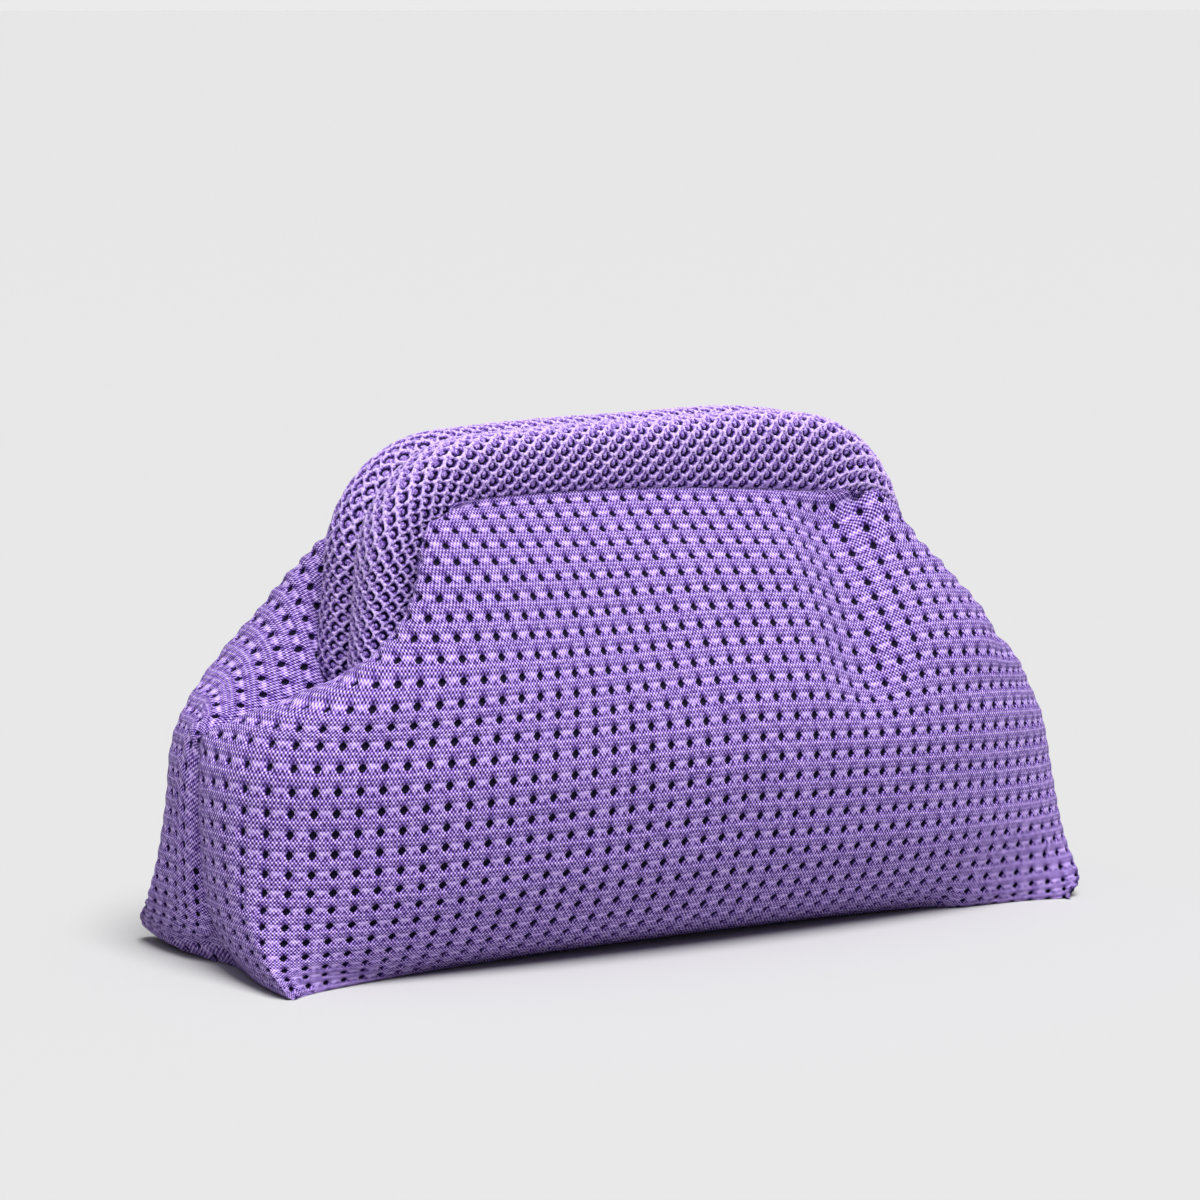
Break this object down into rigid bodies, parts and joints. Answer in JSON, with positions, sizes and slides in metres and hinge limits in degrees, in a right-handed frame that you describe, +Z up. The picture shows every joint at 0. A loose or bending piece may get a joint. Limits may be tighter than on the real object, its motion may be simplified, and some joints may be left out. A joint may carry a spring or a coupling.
{
  "type": "pouch bag",
  "caption": "Soft knitted pouch bag with boxed bottom corners and a rounded hinged frame in honeycomb-knit covers along its mouth, standing closed.",
  "frame": {"origin": "middle of the base on the surface that the bag stands on", "axes": "+X along the bag's length to the right of its front, +Y from front to back, +Z up"},
  "size_m": [0.377, 0.174, 0.2016],
  "materials": {
    "eyelet_knit": "fine eyelet knit",
    "honeycomb_knit": "thick honeycomb knit",
    "frame_metal": "hidden in the covers"
  },
  "bodies": {
    "root": {"panel_front": "eyelet_knit", "panel_back": "eyelet_knit", "frame_cover_front": "honeycomb_knit", "frame_cover_back": "honeycomb_knit", "hinge_frame": "frame_metal"}
  },
  "joints": []
}
